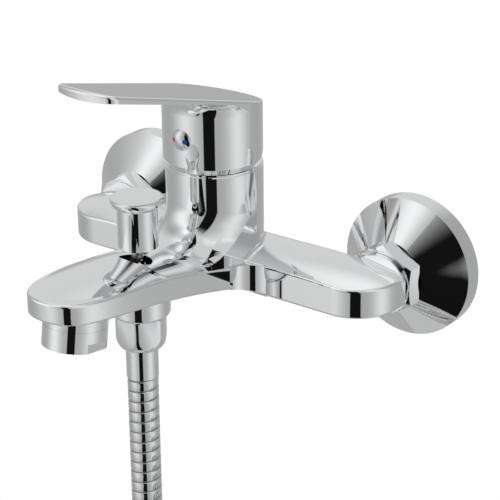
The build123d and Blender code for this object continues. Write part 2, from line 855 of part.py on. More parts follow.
dome_r = (index_r**2 + index_dome**2) / (2 * index_dome)
dome_centre = (0, handle_y - handle_r - index_dome + dome_r, index_z)
mark_floor = index_dome - mark_depth
with BuildPart() as index_plug:
    with BuildSketch(index_plane.offset(-index_depth + face_fit)):
        Circle(index_r)
    extrude(amount=index_depth + index_dome)
    with Locations(dome_centre):
        Sphere(dome_r, mode=Mode.INTERSECT)
    with BuildSketch(index_plane.offset(mark_floor - mark_depth)):
        with Locations((mark_x, 0), (-mark_x, 0)):
            Circle(mark_r)
    extrude(amount=2 * index_dome, mode=Mode.SUBTRACT)
save(index_plug, "index_plug")

for mark_name, side in {"hot_mark": -1, "cold_mark": 1}.items():
    with BuildPart() as mark:
        with BuildSketch(index_plane.offset(mark_floor - mark_depth)):
            with Locations((side * mark_x, 0)):
                Circle(mark_r - face_fit)
        extrude(amount=2 * index_dome)
        with Locations(dome_centre):
            Sphere(dome_r, mode=Mode.INTERSECT)
    save(mark, mark_name)

# Aerator under the spout
with BuildPart() as aerator_housing:
    with BuildSketch(aerator_plane):
        Circle(aerator_r)
    extrude(amount=aerator_height)
    with BuildSketch(aerator_plane):
        with Locations((aerator_r, 0), (-aerator_r, 0)):
            Rectangle(2 * aerator_flat, 2 * aerator_r)
    extrude(amount=aerator_flat_height, mode=Mode.SUBTRACT)
    with BuildSketch(aerator_plane.offset(aerator_height)):
        Circle(aerator_thread_r)
    extrude(amount=aerator_thread)
    with BuildSketch(aerator_plane):
        Circle(aerator_thread_r - aerator_wall)
    extrude(amount=aerator_height + aerator_thread, mode=Mode.SUBTRACT)
save(aerator_housing, "aerator_housing")

insert_r = aerator_thread_r - aerator_wall - running_fit
insert_top = aerator_height + aerator_thread
with BuildPart() as aerator_insert:
    with BuildSketch(aerator_plane.offset(insert_top - aerator_insert_height)):
        Circle(insert_r)
        with PolarLocations(aerator_outer_ring, aerator_outer_holes):
            Circle(aerator_hole_r, mode=Mode.SUBTRACT)
        with PolarLocations(aerator_inner_ring, aerator_inner_holes):
            Circle(aerator_hole_r, mode=Mode.SUBTRACT)
    extrude(amount=aerator_insert_height - running_fit)
save(aerator_insert, "aerator_insert")

with BuildPart() as aerator_seal:
    with BuildSketch(aerator_plane.offset(insert_top + face_fit)):
        Circle(aerator_thread_r)
        Circle(2 * outlet_way_r, mode=Mode.SUBTRACT)
    extrude(amount=aerator_washer - 2 * face_fit)
save(aerator_seal, "aerator_seal")

# Diverter: bush in the casting, and the knob, rod and valve that lift
rod_bore_r = rod_r + running_fit
with BuildPart() as diverter_bush:
    with BuildSketch(diverter_plane.offset(bush_bottom)):
        Circle(chamber_r - thread_fit)
    extrude(amount=bush_seat + face_fit - bush_bottom)
    with BuildSketch(diverter_plane.offset(bush_seat + face_fit)):
        Circle(bush_collar_r)
    extrude(amount=bush_collar_top - bush_seat - face_fit)
    with BuildSketch(diverter_plane.offset(bush_bottom)):
        Circle(rod_bore_r)
    extrude(amount=bush_collar_top, mode=Mode.SUBTRACT)
save(diverter_bush, "diverter_bush")

stem_top = knob_top - knob_rim - knob_bevel
with BuildPart() as diverter_knob:
    with BuildSketch(Plane.XZ.offset(-diverter_y)):
        with BuildLine():
            Polyline(
                (rod_r + face_fit, rod_top + face_fit),
                (0, rod_top + face_fit),
                (0, knob_top),
                (knob_r - knob_edge, knob_top),
                (knob_r, knob_top - knob_edge),
                (knob_r, knob_top - knob_rim),
                (knob_stem_r, stem_top),
                (knob_stem_r, knob_bottom),
                (knob_stem_r - knob_wall, knob_bottom),
                (knob_stem_r - knob_wall, stem_top - knob_bevel),
                (rod_r + face_fit, stem_top - knob_bevel),
                close=True,
            )
        make_face()
    revolve(axis=Axis((0, diverter_y, 0), (0, 0, 1)))
save(diverter_knob, "diverter_knob")

valve_z = chamber_floor + valve_seal
with BuildPart() as diverter_rod:
    with BuildSketch(diverter_plane.offset(valve_z + valve_height)):
        Circle(rod_r)
    extrude(amount=rod_top - valve_z - valve_height)
save(diverter_rod, "diverter_rod")

with BuildPart() as diverter_valve:
    with BuildSketch(diverter_plane.offset(valve_z)):
        Circle(valve_r)
    extrude(amount=valve_height - face_fit)
save(diverter_valve, "diverter_valve")

with BuildPart() as diverter_seal:
    with BuildSketch(diverter_plane.offset(chamber_floor + face_fit)):
        Circle(valve_r + running_fit)
    extrude(amount=valve_seal - 2 * face_fit)
save(diverter_seal, "diverter_seal")

# Shower outlet and the fittings at the top of the hose
outlet_axis = Axis((0, diverter_y, 0), (0, 0, 1))
thread_end = outlet_bottom - outlet_thread
root_top = outlet_bottom + outlet_root
with BuildPart() as outlet_nipple:
    with BuildSketch(Plane.XZ.offset(-diverter_y)):
        with BuildLine():
            Polyline(
                (outlet_bore_r, root_top - running_fit),
                (outlet_socket_r, root_top - running_fit),
                (outlet_socket_r, outlet_bottom - face_fit),
                (outlet_thread_r, outlet_bottom - face_fit),
                (outlet_thread_r, thread_end),
                (outlet_bore_r, thread_end),
                close=True,
            )
        make_face()
    revolve(axis=outlet_axis)
save(outlet_nipple, "outlet_nipple")

hose_nut_top = outlet_bottom - running_fit
hose_nut_floor_z = hose_nut_bottom + hose_nut_floor
foot_r = ferrule_r + running_fit
foot_step = hose_nut_r - foot_r
round_r = (foot_step**2 + hose_nut_round**2) / (2 * foot_step)
with BuildPart() as hose_nut:
    with BuildSketch(Plane.XZ.offset(-diverter_y)):
        with BuildLine():
            RadiusArc(
                (foot_r, hose_nut_bottom), (hose_nut_r, hose_nut_bottom + hose_nut_round), -round_r
            )
            Polyline(
                (hose_nut_r, hose_nut_bottom + hose_nut_round),
                (hose_nut_r, hose_nut_top),
                (outlet_thread_r + thread_fit, hose_nut_top),
                (outlet_thread_r + thread_fit, hose_nut_floor_z),
                (hose_neck_r + running_fit, hose_nut_floor_z),
                (hose_neck_r + running_fit, hose_nut_bottom),
                (foot_r, hose_nut_bottom),
            )
        make_face()
    revolve(axis=outlet_axis)
    with BuildSketch(diverter_plane.offset(hose_nut_bottom)):
        RegularPolygon(hose_nut_flats / 2, 6, major_radius=False)
    extrude(amount=hose_nut_top - hose_nut_bottom, mode=Mode.INTERSECT)
save(hose_nut, "hose_nut")

washer_bottom = thread_end - hose_washer
with BuildPart() as hose_washer_ring:
    with BuildSketch(diverter_plane.offset(washer_bottom + face_fit)):
        Circle(hose_flange_r)
        Circle(outlet_bore_r, mode=Mode.SUBTRACT)
    extrude(amount=hose_washer - 2 * face_fit)
save(hose_washer_ring, "hose_washer")

with BuildPart() as hose_ferrule:
    with BuildSketch(Plane.XZ.offset(-diverter_y)):
        with BuildLine():
            Polyline(
                (hose_bore_r, washer_bottom),
                (hose_flange_r, washer_bottom),
                (hose_flange_r, hose_nut_floor_z + face_fit),
                (hose_neck_r, hose_nut_floor_z + face_fit),
                (hose_neck_r, hose_nut_bottom - face_fit),
                (ferrule_r, hose_nut_bottom - face_fit),
                (ferrule_r, ferrule_bottom),
                (hose_bore_r, ferrule_bottom),
                close=True,
            )
        make_face()
    revolve(axis=outlet_axis)
save(hose_ferrule, "hose_ferrule")

# Hose: ribbed stretch, straight ends one diameter long
hose_diameter = 2 * hose_r
stretch_length = ferrule_bottom - coil_centre_z
rib_count = int((stretch_length - 2 * hose_diameter) / rib_pitch)
ribs_top = ferrule_bottom - (stretch_length - rib_count * rib_pitch) / 2
with BuildPart() as hose_stretch:
    with BuildSketch(diverter_plane.offset(ferrule_bottom)):
        Circle(hose_r)
    for rib in range(rib_count):
        rib_top = ribs_top - rib * rib_pitch
        for depth, radius in (
            (0, hose_root_r if rib else hose_r),
            (rib_groove, hose_r),
            (rib_pitch - rib_groove, hose_r),
        ):
            with BuildSketch(diverter_plane.offset(rib_top - depth)):
                Circle(radius)
    with BuildSketch(diverter_plane.offset(ribs_top - rib_count * rib_pitch)):
        Circle(hose_r)
    with BuildSketch(diverter_plane.offset(coil_centre_z)):
        Circle(hose_r)
    loft(ruled=True)
    with BuildSketch(diverter_plane.offset(coil_centre_z)):
        Circle(hose_bore_r)
    extrude(amount=stretch_length, mode=Mode.SUBTRACT)
save(hose_stretch, "hose_stretch")

# Hose: the put-away coil, half turns in upright planes that step back by half a pitch
coil_pitch = hose_diameter + coil_gap
half_turns = 2 * coil_turns
coil_end_y = diverter_y + (coil_turns - 1) * coil_pitch + end_nut_r + hose_r + 2 * coil_gap
with BuildPart() as hose_coil:
    with BuildLine() as coil_path:
        for half in range(half_turns):
            outward = half % 2 == 0
            start_x = 0 if outward else 2 * coil_centre_x
            end_x = 2 * coil_centre_x - start_x
            start_y = diverter_y + half * coil_pitch / 2
            end_y = start_y + coil_pitch / 2 if half < half_turns - 1 else coil_end_y
            reach = hypot(2 * coil_centre_x, end_y - start_y) / 2
            ThreePointArc(
                (start_x, start_y, coil_centre_z),
                (
                    coil_centre_x,
                    (start_y + end_y) / 2,
                    coil_centre_z - reach if outward else coil_centre_z + reach,
                ),
                (end_x, end_y, coil_centre_z),
            )
        end_z = coil_centre_z - hose_diameter
        Line((0, coil_end_y, coil_centre_z), (0, coil_end_y, end_z))
    with BuildSketch(diverter_plane.offset(coil_centre_z)):
        Circle(hose_r)
        Circle(hose_bore_r, mode=Mode.SUBTRACT)
    sweep(path=coil_path.wires()[0])
save(hose_coil, "hose_coil")

# Least gap of the coil to itself, on points along its path
coil_wire = coil_path.wires()[0]
samples_per_turn = 120
sample_count = samples_per_turn * coil_turns
samples = [coil_wire @ (k / sample_count) for k in range(sample_count + 1)]
apart = samples_per_turn // 2
least_gap = min(
    (samples[i] - samples[j]).length - hose_diameter
    for i in range(sample_count + 1)
    for j in range(i + apart, sample_count + 1)
)
hose_length = stretch_length + coil_wire.length
print(f"coil: least gap {least_gap:.2f} mm, radius {coil_centre_x:.1f} mm")
print(f"hose: {hose_length:.0f} mm, {rib_count} ribs on the stretch")

tie_half = hose_r + coil_gap
tie_y = diverter_y + coil_pitch / 2 + (coil_turns - 1) * coil_pitch / 2
tie_span = (coil_turns - 1) * coil_pitch + 2 * tie_half
tie_plane = Plane(
    origin=(2 * coil_centre_x, tie_y, coil_centre_z - tie_height / 2), x_dir=(0, 1, 0), z_dir=(0, 0, 1)
)
with BuildPart() as hose_tie:
    with BuildSketch(tie_plane):
        SlotOverall(tie_span + 2 * tie_wall, 2 * tie_half + 2 * tie_wall)
        SlotOverall(tie_span, 2 * tie_half, mode=Mode.SUBTRACT)
    extrude(amount=tie_height)
save(hose_tie, "hose_tie")

# Fittings at the lower end of the hose, for the hand shower
end_axis = Axis((0, coil_end_y, 0), (0, 0, 1))
end_foot_z = end_z - end_ferrule
end_nut_top = end_foot_z - face_fit
end_nut_bottom = end_nut_top - end_nut_height
end_seat = end_nut_bottom + end_thread
end_bore_r = outlet_thread_r + thread_fit
with BuildPart() as hose_end_ferrule:
    with BuildSketch(Plane.XZ.offset(-coil_end_y)):
        with BuildLine():
            Polyline(
                (hose_bore_r, end_z),
                (ferrule_r, end_z),
                (ferrule_r, end_foot_z),
                (hose_neck_r, end_foot_z),
                (hose_neck_r, end_seat + face_fit),
                (hose_flange_r, end_seat + face_fit),
                (hose_flange_r, end_seat - hose_washer),
                (hose_bore_r, end_seat - hose_washer),
                close=True,
            )
        make_face()
    revolve(axis=end_axis)
save(hose_end_ferrule, "hose_end_ferrule")

with BuildPart() as hose_end_nut:
    with BuildSketch(Plane.XZ.offset(-coil_end_y)):
        with BuildLine():
            Polyline(
                (hose_neck_r + running_fit, end_nut_top),
                (ferrule_r, end_nut_top),
                (end_nut_r, end_seat),
                (end_nut_r, end_nut_bottom),
                (end_bore_r, end_nut_bottom),
                (end_bore_r, end_seat - hose_washer),
                (hose_flange_r + running_fit, end_seat - hose_washer),
                (hose_flange_r + running_fit, end_seat + 2 * face_fit),
                (hose_neck_r + running_fit, end_seat + 2 * face_fit),
                close=True,
            )
        make_face()
    revolve(axis=end_axis)
save(hose_end_nut, "hose_end_nut")
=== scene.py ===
"""Looks of the wall mounted bath mixer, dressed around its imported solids.

Metres, in the frame of the solids: the origin is on the wall midway between the
inlets, +X is to the right, -Y is towards the bather and +Z is up.
"""

import json
import logging
import math
from dataclasses import dataclass, field
from enum import Enum, IntEnum

import bmesh
import bpy
from mathutils import Matrix, Vector


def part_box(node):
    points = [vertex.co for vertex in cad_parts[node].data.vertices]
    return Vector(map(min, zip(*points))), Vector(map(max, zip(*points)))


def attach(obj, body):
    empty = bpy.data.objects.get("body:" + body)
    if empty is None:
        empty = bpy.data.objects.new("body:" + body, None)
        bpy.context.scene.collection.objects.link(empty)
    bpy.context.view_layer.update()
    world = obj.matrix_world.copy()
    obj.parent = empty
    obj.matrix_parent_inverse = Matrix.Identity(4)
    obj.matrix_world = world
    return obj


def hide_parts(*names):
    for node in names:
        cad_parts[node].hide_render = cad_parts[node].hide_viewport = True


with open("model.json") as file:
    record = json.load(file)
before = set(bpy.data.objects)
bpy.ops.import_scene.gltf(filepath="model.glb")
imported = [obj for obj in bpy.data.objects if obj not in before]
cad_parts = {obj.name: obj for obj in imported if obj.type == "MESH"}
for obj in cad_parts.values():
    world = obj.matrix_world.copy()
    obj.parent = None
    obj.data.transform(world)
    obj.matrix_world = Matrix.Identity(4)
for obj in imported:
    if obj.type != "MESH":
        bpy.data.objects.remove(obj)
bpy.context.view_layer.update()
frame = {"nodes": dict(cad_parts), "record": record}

logging.basicConfig(level=logging.INFO, format="%(message)s")
log = logging.getLogger("bath_mixer")

Colour = tuple[float, float, float]
Span = tuple[float, float]
Socket = bpy.types.NodeSocket

UP = Vector((0.0, 0.0, 1.0))
SPIN_STEPS = 128
SHARP_ANGLE = 35.0
MERGE_DISTANCE = 1e-6
HALVINGS = 40


class Body(str, Enum):
    """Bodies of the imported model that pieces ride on."""

    CASTING = "casting"
    DIVERTER = "diverter"


class Slot(str, Enum):
    """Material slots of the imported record."""

    CHROME = "chrome"
    HOSE = "chrome_hose"
    BRASS = "brass"
    STEEL = "steel"
    RUBBER = "rubber"
    CERAMIC = "ceramic"
    CARTRIDGE = "cartridge_plastic"
    WHITE = "white_plastic"
    INDEX = "index_grey"
    HOT = "hot_red"
    COLD = "cold_blue"


class MixSocket(IntEnum):
    """Places of the colour sockets on a Mix node, where their names repeat."""

    SHARE = 0
    RESULT = 2
    FIRST = 6
    SECOND = 7


class NodeTree:
    """Small helper that adds and links the nodes of one shader tree."""

    def __init__(self, tree: bpy.types.NodeTree) -> None:
        """Keep the tree that the nodes go into.

        Args:
            tree: Node tree of a material, a world or a node group.
        """
        self.tree = tree

    def add(self, kind: str, **settings: object) -> bpy.types.Node:
        """Add a node and set its properties.

        Args:
            kind: Node type, such as ShaderNodeMath.
            settings: Properties of the node by name.

        Returns:
            The new node.
        """
        node = self.tree.nodes.new(kind)
        for name, value in settings.items():
            setattr(node, name, value)
        return node

    def feed(self, node: bpy.types.Node, **inputs: object) -> bpy.types.Node:
        """Set or link inputs of a node, named with underscores for spaces.

        Args:
            node: Node whose inputs are set.
            inputs: Values, or sockets to link, by the input's name.

        Returns:
            The same node.
        """
        for name, value in inputs.items():
            socket = node.inputs[name.replace("_", " ")]
            if isinstance(value, Socket):
                self.tree.links.new(value, socket)
            else:
                socket.default_value = value
        return node

    def math(self, operation: str, *values: object) -> Socket:
        """Add a Math node.

        Args:
            operation: Blender's name of the operation.
            values: Numbers or sockets for its inputs, in order.

        Returns:
            The node's output.
        """
        node = self.add("ShaderNodeMath", operation=operation)
        for socket, value in zip(node.inputs, values):
            if isinstance(value, Socket):
                self.tree.links.new(value, socket)
            else:
                socket.default_value = value
        return node.outputs[0]

    def ramp(self, value: Socket, start: float, end: float) -> Socket:
        """Smooth step from 0 at start to 1 at end, which may be the lower one.

        Args:
            value: Socket that is mapped.
            start: Value where the step is still 0.
            end: Value where the step reaches 1.

        Returns:
            The mapped socket.
        """
        node = self.add("ShaderNodeMapRange", interpolation_type="SMOOTHSTEP")
        low, high = min(start, end), max(start, end)
        rising = end > start
        self.feed(node, Value=value, From_Min=low, From_Max=high)
        self.feed(node, To_Min=0.0 if rising else 1.0, To_Max=1.0 if rising else 0.0)
        return node.outputs["Result"]

    def product(self, *values: Socket) -> Socket:
        """Multiply sockets with each other.

        Args:
            values: Two sockets or more.

        Returns:
            Their product.
        """
        result = values[0]
        for value in values[1:]:
            result = self.math("MULTIPLY", result, value)
        return result

    def blend(self, share: Socket, first: Colour, second: Colour) -> Socket:
        """Mix two colours.

        Args:
            share: Socket with the second colour's share.
            first: Colour where the share is 0.
            second: Colour where the share is 1.

        Returns:
            The mixed colour.
        """
        node = self.add("ShaderNodeMix", data_type="RGBA")
        self.tree.links.new(share, node.inputs[MixSocket.SHARE])
        node.inputs[MixSocket.FIRST].default_value = (*first, 1.0)
        node.inputs[MixSocket.SECOND].default_value = (*second, 1.0)
        return node.outputs[MixSocket.RESULT]

    def mixed(self, share: Socket, first: bpy.types.Node, second: bpy.types.Node) -> Socket:
        """Mix two shaders.

        Args:
            share: Socket with the second shader's share.
            first: Node of the shader where the share is 0.
            second: Node of the shader where the share is 1.

        Returns:
            The mixed shader.
        """
        node = self.add("ShaderNodeMixShader")
        for socket, value in zip(node.inputs, (share, first.outputs[0], second.outputs[0])):
            self.tree.links.new(value, socket)
        return node.outputs[0]


class Effects:
    """Shader node groups that several finishes share."""

    def __init__(self) -> None:
        """Build each group once."""
        self.haze = self._haze()
        self.turned = self._turned()
        self.grain = self._grain()

    @staticmethod
    def _group(name: str, inputs: dict[str, float], outputs: dict[str, str]) -> tuple:
        """Start a node group with float inputs.

        Args:
            name: Name of the group.
            inputs: Default of each float input by name.
            outputs: Socket type of each output by name.

        Returns:
            The group, its helper, its input node and its output node.
        """
        group = bpy.data.node_groups.new(name, "ShaderNodeTree")
        for label, default in inputs.items():
            socket = group.interface.new_socket(
                label, in_out="INPUT", socket_type="NodeSocketFloat"
            )
            socket.default_value = default
        for label, kind in outputs.items():
            group.interface.new_socket(label, in_out="OUTPUT", socket_type=kind)
        nodes = NodeTree(group)
        return group, nodes, nodes.add("NodeGroupInput"), nodes.add("NodeGroupOutput")

    def _haze(self) -> bpy.types.NodeTree:
        """Faint cloudy change of roughness, as on polished plating.

        Returns:
            Group with Base, Spread and Scale inputs and a Roughness output.
        """
        group, nodes, given, made = self._group(
            "polish_haze",
            {"Base": 0.02, "Spread": 0.02, "Scale": 60.0},
            {"Roughness": "NodeSocketFloat"},
        )
        place = nodes.add("ShaderNodeTexCoord")
        cloud = nodes.add("ShaderNodeTexNoise")
        nodes.feed(cloud, Vector=place.outputs["Object"], Scale=given.outputs["Scale"], Detail=3.0)
        swing = nodes.math("MULTIPLY", cloud.outputs["Fac"], given.outputs["Spread"])
        nodes.feed(made, Roughness=nodes.math("ADD", swing, given.outputs["Base"]))
        return group

    def _turned(self) -> bpy.types.NodeTree:
        """Fine rings that a lathe leaves, as a height for bump.

        Returns:
            Group with a Scale input and a Height output.
        """
        group, nodes, given, made = self._group(
            "turned_rings", {"Scale": 900.0}, {"Height": "NodeSocketFloat"}
        )
        place = nodes.add("ShaderNodeTexCoord")
        rings = nodes.add("ShaderNodeTexWave", bands_direction="Z")
        nodes.feed(rings, Vector=place.outputs["Object"], Scale=given.outputs["Scale"])
        nodes.feed(rings, Distortion=1.5, Detail=2.0)
        nodes.feed(made, Height=rings.outputs["Fac"])
        return group

    def _grain(self) -> bpy.types.NodeTree:
        """Fine grain of moulded plastic and rubber.

        Returns:
            Group with a Scale input, and Height and Shade outputs.
        """
        group, nodes, given, made = self._group(
            "moulded_grain",
            {"Scale": 2500.0},
            {"Height": "NodeSocketFloat", "Shade": "NodeSocketFloat"},
        )
        place = nodes.add("ShaderNodeTexCoord")
        grain = nodes.add("ShaderNodeTexNoise")
        nodes.feed(grain, Vector=place.outputs["Object"], Scale=given.outputs["Scale"], Detail=4.0)
        nodes.feed(made, Height=grain.outputs["Fac"])
        nodes.feed(made, Shade=nodes.ramp(grain.outputs["Fac"], 0.25, 0.75))
        return group


@dataclass(frozen=True)
class Finish:
    """One surface finish; subclasses add what the real surface shows."""

    slot: Slot
    colour: Colour
    roughness: float
    metallic: float = 0.0

    def start(self) -> tuple[bpy.types.Material, NodeTree, bpy.types.Node]:
        """Make the material and its shader.

        Returns:
            The material, the helper of its tree and its Principled node.
        """
        material = bpy.data.materials.new(f"finish_{self.slot.value}")
        material.use_nodes = True
        nodes = NodeTree(material.node_tree)
        shader = material.node_tree.nodes["Principled BSDF"]
        nodes.feed(shader, Base_Color=(*self.colour, 1.0), Roughness=self.roughness)
        nodes.feed(shader, Metallic=self.metallic)
        return material, nodes, shader

    def build(self, effects: Effects) -> bpy.types.Material:
        """Make the finished material.

        Args:
            effects: Shared node groups.

        Returns:
            The material.
        """
        return self.start()[0]


@dataclass(frozen=True)
class Plating(Finish):
    """Bright chrome plating with a faint polishing haze."""

    spread: float = 0.02
    cloud_scale: float = 45.0

    def build(self, effects: Effects) -> bpy.types.Material:
        """Make the plated material; see Finish.build."""
        material, nodes, shader = self.start()
        haze = nodes.add("ShaderNodeGroup", node_tree=effects.haze)
        nodes.feed(haze, Base=self.roughness, Spread=self.spread, Scale=self.cloud_scale)
        nodes.feed(shader, Roughness=haze.outputs["Roughness"])
        return material


@dataclass(frozen=True)
class HosePlating(Plating):
    """Chrome on the hose, with painted shade that darkens its colour down in its grooves."""

    # Colour of the painted shade down in the hose's grooves
    painted_groove_shade: Colour = (0.22, 0.22, 0.225)

    def build(self, effects: Effects) -> bpy.types.Material:
        """Make the hose's material; see Finish.build."""
        material = super().build(effects)
        nodes = NodeTree(material.node_tree)
        shader = material.node_tree.nodes["Principled BSDF"]
        # Painted shade: the base colour is darkened down in the grooves, following the groove
        # depth
        depth = nodes.add("ShaderNodeAttribute", attribute_name=ShowerHose.DEPTH)
        tint = nodes.blend(depth.outputs["Fac"], self.colour, self.painted_groove_shade)
        nodes.feed(shader, Base_Color=tint)
        return material


@dataclass(frozen=True)
class TurnedMetal(Finish):
    """Bare metal from the lathe, with fine rings and a tarnish haze."""

    ring_scale: float = 700.0
    ring_height: float = 0.00002
    tarnish: float = 0.15
    tarnish_scale: float = 180.0

    def build(self, effects: Effects) -> bpy.types.Material:
        """Make the turned material; see Finish.build."""
        material, nodes, shader = self.start()
        haze = nodes.add("ShaderNodeGroup", node_tree=effects.haze)
        nodes.feed(haze, Base=self.roughness, Spread=self.tarnish, Scale=self.tarnish_scale)
        rings = nodes.add("ShaderNodeGroup", node_tree=effects.turned)
        nodes.feed(rings, Scale=self.ring_scale)
        bump = nodes.add("ShaderNodeBump")
        nodes.feed(bump, Height=rings.outputs["Height"], Distance=self.ring_height)
        nodes.feed(shader, Roughness=haze.outputs["Roughness"], Normal=bump.outputs["Normal"])
        return material


@dataclass(frozen=True)
class Moulded(Finish):
    """Moulded plastic, rubber or ceramic with a fine grain."""

    grain_scale: float = 2500.0
    grain_height: float = 0.00003
    shade: float = 0.12

    def build(self, effects: Effects) -> bpy.types.Material:
        """Make the moulded material; see Finish.build."""
        material, nodes, shader = self.start()
        grain = nodes.add("ShaderNodeGroup", node_tree=effects.grain)
        nodes.feed(grain, Scale=self.grain_scale)
        bump = nodes.add("ShaderNodeBump")
        nodes.feed(bump, Height=grain.outputs["Height"], Distance=self.grain_height)
        darker = tuple(part * (1 - self.shade) for part in self.colour)
        tint = nodes.blend(grain.outputs["Shade"], self.colour, darker)
        nodes.feed(shader, Base_Color=tint, Normal=bump.outputs["Normal"])
        return material


FINISHES: tuple[Finish, ...] = (
    Plating(Slot.CHROME, (0.885, 0.893, 0.9), 0.01, 1.0),
    HosePlating(Slot.HOSE, (0.85, 0.857, 0.865), 0.05, 1.0, spread=0.05, cloud_scale=220.0),
    TurnedMetal(Slot.BRASS, (0.74, 0.55, 0.27), 0.22, 1.0),
    TurnedMetal(Slot.STEEL, (0.58, 0.58, 0.59), 0.25, 1.0),
    Moulded(Slot.RUBBER, (0.03, 0.03, 0.032), 0.65),
    Moulded(Slot.CERAMIC, (0.86, 0.85, 0.82), 0.12, shade=0.04),
    Moulded(Slot.CARTRIDGE, (0.11, 0.115, 0.12), 0.45),
    Moulded(Slot.WHITE, (0.8, 0.8, 0.79), 0.4, shade=0.05),
    Plating(Slot.INDEX, (0.8, 0.805, 0.81), 0.04, 1.0),
    Moulded(Slot.HOT, (0.72, 0.02, 0.04), 0.25, shade=0.05),
    Moulded(Slot.COLD, (0.02, 0.12, 0.68), 0.25, shade=0.05),
)


@dataclass(frozen=True)
class StripLight:
    """Soft upright light beside the camera; in degrees from the camera.

    Attributes:
        turn: Place around the object, moved by low_shift over low_span of the tilt and by
            high_shift over high_span.
        width: Half width of the glow.
        strength: Brightness in the middle.
        foot: Tilts between which the lower end fades.
        head: Tilts between which the upper end fades.
    """

    turn: float
    low_shift: float
    low_span: Span
    high_shift: float
    high_span: Span
    width: float
    strength: float
    foot: Span
    head: Span

    def build(self, nodes: NodeTree, turn: Socket, tilt: Socket) -> Socket:
        """Brightness of the light in each direction.

        Args:
            nodes: Helper of the world's tree.
            turn: Angle around the object.
            tilt: Angle above the horizon.

        Returns:
            Socket with the brightness.
        """
        low, high = nodes.ramp(tilt, *self.low_span), nodes.ramp(tilt, *self.high_span)
        centre = nodes.math("MULTIPLY_ADD", low, self.low_shift, self.turn)
        centre = nodes.math("MULTIPLY_ADD", high, self.high_shift, centre)
        off = nodes.math("DIVIDE", nodes.math("SUBTRACT", turn, centre), self.width)
        fade = nodes.math("MULTIPLY", nodes.product(off, off), -1.0)
        ends = nodes.product(nodes.ramp(tilt, *self.foot), nodes.ramp(tilt, *self.head))
        glow = nodes.product(nodes.math("EXPONENT", fade), ends)
        return nodes.math("MULTIPLY", glow, self.strength)


LIGHTS: tuple[StripLight, ...] = (
    StripLight(
        turn=-62.0,
        low_shift=-17.0,
        low_span=(-23.0, 0.0),
        high_shift=14.0,
        high_span=(10.0, 45.0),
        width=27.0,
        strength=0.58,
        foot=(-62.0, 5.0),
        head=(74.0, 54.0),
    ),
    StripLight(
        turn=64.0,
        low_shift=-24.0,
        low_span=(-30.0, 8.0),
        high_shift=-10.0,
        high_span=(10.0, 40.0),
        width=26.0,
        strength=0.4,
        foot=(-110.0, -10.0),
        head=(66.0, 46.0),
    ),
)


@dataclass(frozen=True)
class DarkGap:
    """Dark gap between the lights, mirrored as black stripes; in degrees from the camera.

    Attributes:
        narrow_tilt: Tilt at which left and right hold.
        left: Reach to the camera's left, which grows by left_spread away from that tilt.
        right: Reach to its right, which changes by right_lean above that tilt.
        soft: Half width of the side edges.
        head: Tilts between which the upper end fades.
        foot: Tilts between which the lower end fades.
        darkness: Share of the light that is missing.
    """

    narrow_tilt: float = -23.0
    left: float = 19.5
    left_spread: float = 0.22
    right: float = 6.5
    right_lean: float = -0.2
    soft: float = 1.0
    head: Span = (52.0, 22.0)
    foot: Span = (-74.0, -70.0)
    darkness: float = 0.985

    def build(self, nodes: NodeTree, turn: Socket, tilt: Socket) -> Socket:
        """Share of the light that is left in each direction.

        Args:
            nodes: Helper of the world's tree.
            turn: Angle around the object.
            tilt: Angle above the horizon.

        Returns:
            Socket with the share.
        """
        above = nodes.math("SUBTRACT", tilt, self.narrow_tilt)
        spread = nodes.math("ABSOLUTE", above)
        left = nodes.math("MULTIPLY_ADD", spread, self.left_spread, self.left)
        right = nodes.math("MULTIPLY_ADD", above, self.right_lean, self.right)
        gap = nodes.product(
            nodes.ramp(nodes.math("ADD", turn, left), -self.soft, self.soft),
            nodes.ramp(nodes.math("SUBTRACT", right, turn), -self.soft, self.soft),
            nodes.ramp(tilt, *self.head),
            nodes.ramp(tilt, *self.foot),
        )
        return nodes.math("MULTIPLY_ADD", gap, -self.darkness, 1.0)


@dataclass(frozen=True)
class Room:
    """Even light of the room, brighter overhead and behind the object."""

    even: float = 0.4
    back: float = 0.04
    back_rise: float = 0.25
    back_turn: Span = (120.0, 160.0)
    back_tilt: Span = (-7.0, 10.0)
    overhead: float = 0.26
    overhead_tilt: Span = (38.0, 64.0)

    def build(self, nodes: NodeTree, turn: Socket, tilt: Socket) -> Socket:
        """Brightness of the room in each direction.

        Args:
            nodes: Helper of the world's tree.
            turn: Angle around the object.
            tilt: Angle above the horizon.

        Returns:
            Socket with the brightness.
        """
        behind = nodes.ramp(nodes.math("ABSOLUTE", turn), *self.back_turn)
        wall = nodes.ramp(tilt, *self.back_tilt)
        wall = nodes.math("MULTIPLY_ADD", wall, self.back_rise, self.back)
        level = nodes.math("MULTIPLY_ADD", behind, wall, self.even)
        above = nodes.ramp(tilt, *self.overhead_tilt)
        return nodes.math("MULTIPLY_ADD", above, self.overhead, level)


